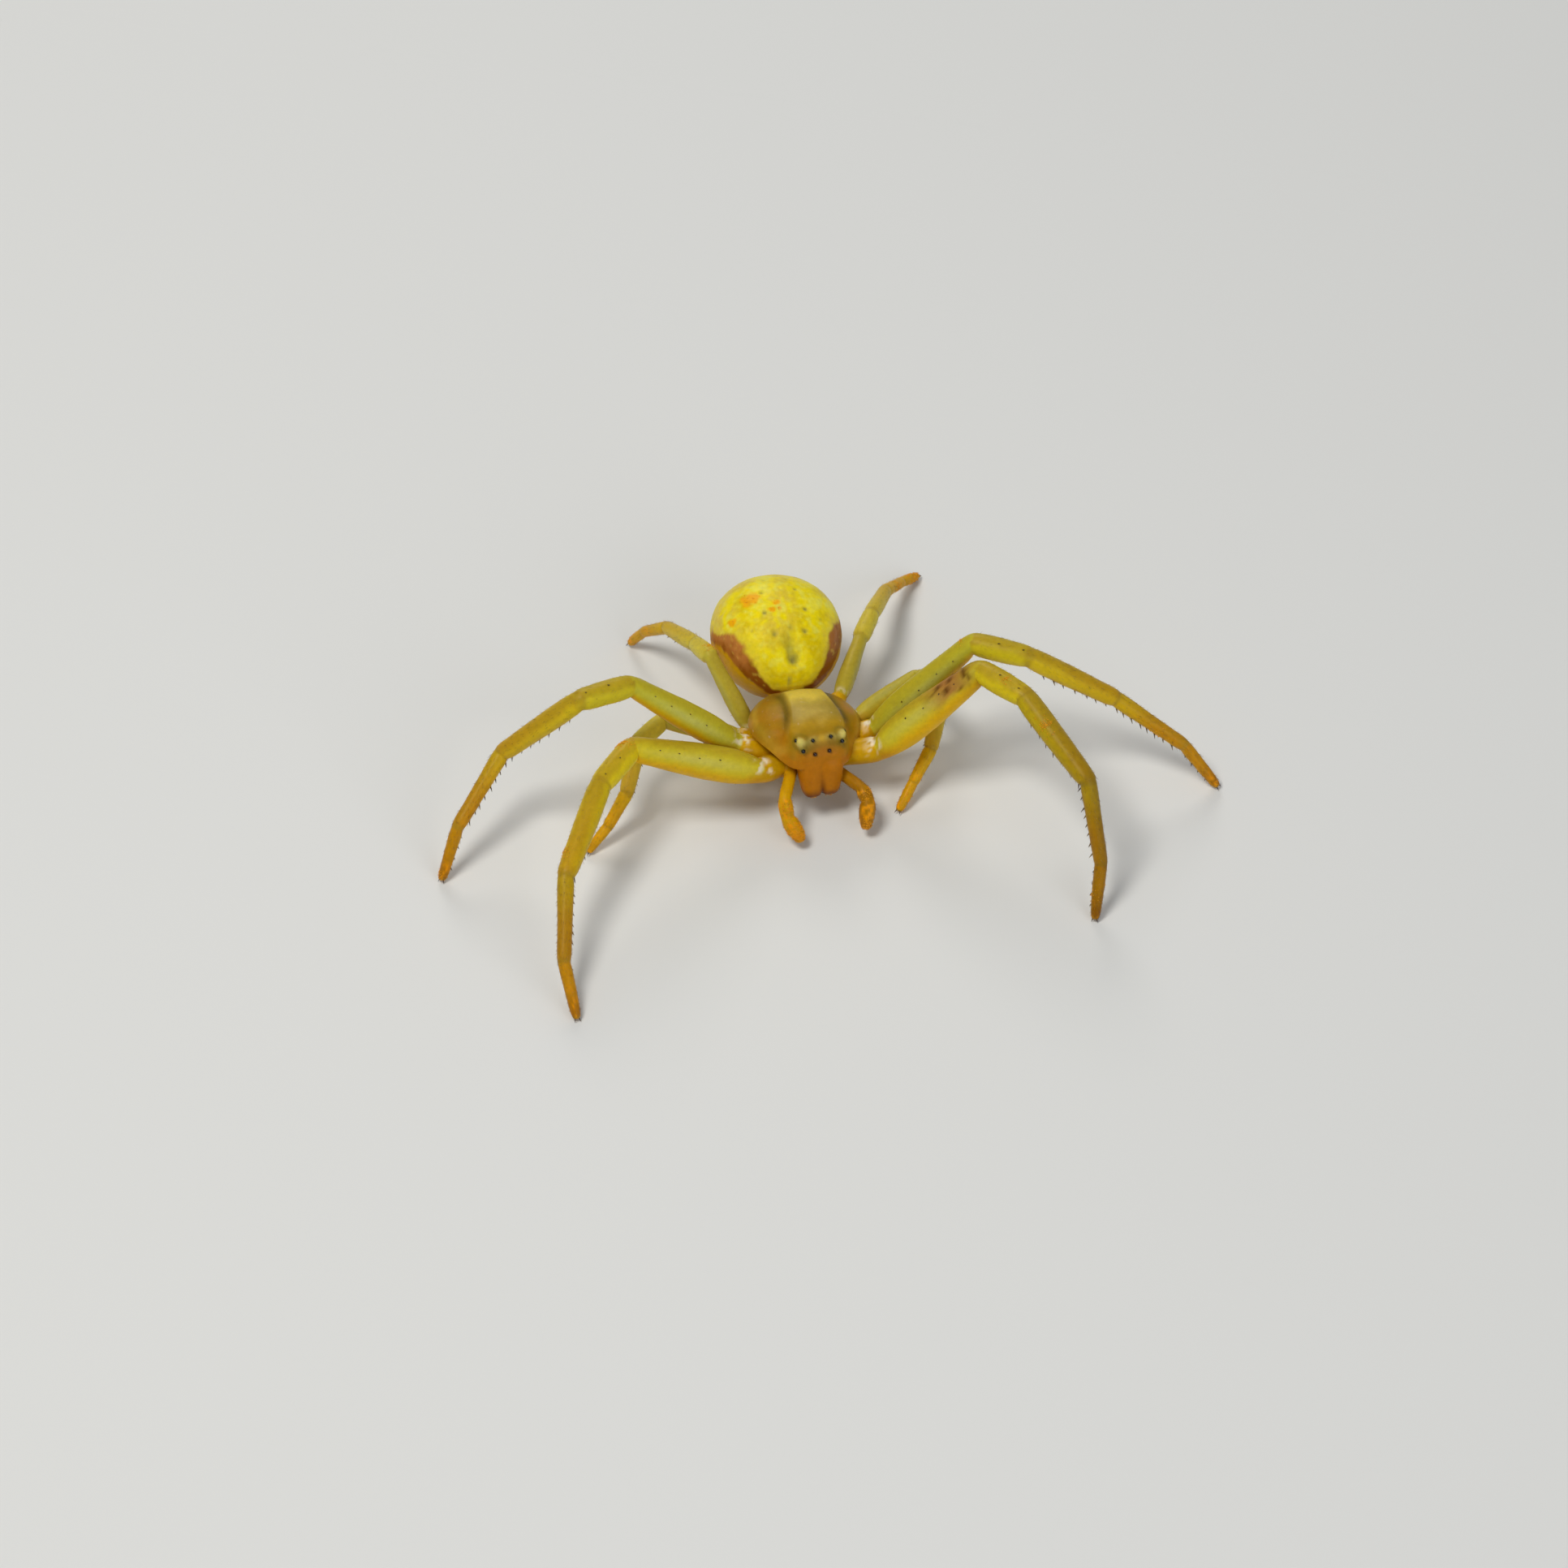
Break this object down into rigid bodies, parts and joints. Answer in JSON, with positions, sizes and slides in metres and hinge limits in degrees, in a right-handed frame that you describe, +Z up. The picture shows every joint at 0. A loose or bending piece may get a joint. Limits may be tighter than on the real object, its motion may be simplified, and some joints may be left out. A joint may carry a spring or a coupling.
{
  "type": "crab spider",
  "caption": "Life-size still model of a yellow female crab spider standing with its long front legs spread and bent to the ground.",
  "frame": {"origin": "middle of the footprint's bounding box, on the floor that the feet stand on", "axes": "+X to the animal's left and along its leg span, -Y the way it faces, +Z up"},
  "size_m": [0.0198, 0.0129, 0.0045],
  "materials": {
    "carapace_cuticle": "satin amber cuticle, slightly translucent",
    "abdomen_cuticle": "soft satin yellow skin",
    "mouthpart_cuticle": "satin orange-amber cuticle",
    "leg_cuticle": "satin translucent yellow cuticle",
    "eye_lens": "polished black"
  },
  "bodies": {
    "root": {"cephalothorax": "carapace_cuticle", "abdomen": "abdomen_cuticle", "spinnerets": "mouthpart_cuticle", "chelicera_left": "mouthpart_cuticle", "chelicera_right": "mouthpart_cuticle", "palp_left": "mouthpart_cuticle", "palp_right": "mouthpart_cuticle", "eye_anterior_median_left": "eye_lens", "eye_anterior_median_right": "eye_lens", "eye_anterior_lateral_left": "eye_lens", "eye_anterior_lateral_right": "eye_lens", "eye_posterior_median_left": "eye_lens", "eye_posterior_median_right": "eye_lens", "eye_posterior_lateral_left": "eye_lens", "eye_posterior_lateral_right": "eye_lens", "leg_1_left_femur": "leg_cuticle", "leg_1_left_tibia": "leg_cuticle", "leg_1_left_tarsus": "leg_cuticle", "leg_2_left_femur": "leg_cuticle", "leg_2_left_tibia": "leg_cuticle", "leg_2_left_tarsus": "leg_cuticle", "leg_3_left_femur": "leg_cuticle", "leg_3_left_tibia": "leg_cuticle", "leg_3_left_tarsus": "leg_cuticle", "leg_4_left_femur": "leg_cuticle", "leg_4_left_tibia": "leg_cuticle", "leg_4_left_tarsus": "leg_cuticle", "leg_1_right_femur": "leg_cuticle", "leg_1_right_tibia": "leg_cuticle", "leg_1_right_tarsus": "leg_cuticle", "leg_2_right_femur": "leg_cuticle", "leg_2_right_tibia": "leg_cuticle", "leg_2_right_tarsus": "leg_cuticle", "leg_3_right_femur": "leg_cuticle", "leg_3_right_tibia": "leg_cuticle", "leg_3_right_tarsus": "leg_cuticle", "leg_4_right_femur": "leg_cuticle", "leg_4_right_tibia": "leg_cuticle", "leg_4_right_tarsus": "leg_cuticle"}
  },
  "joints": []
}
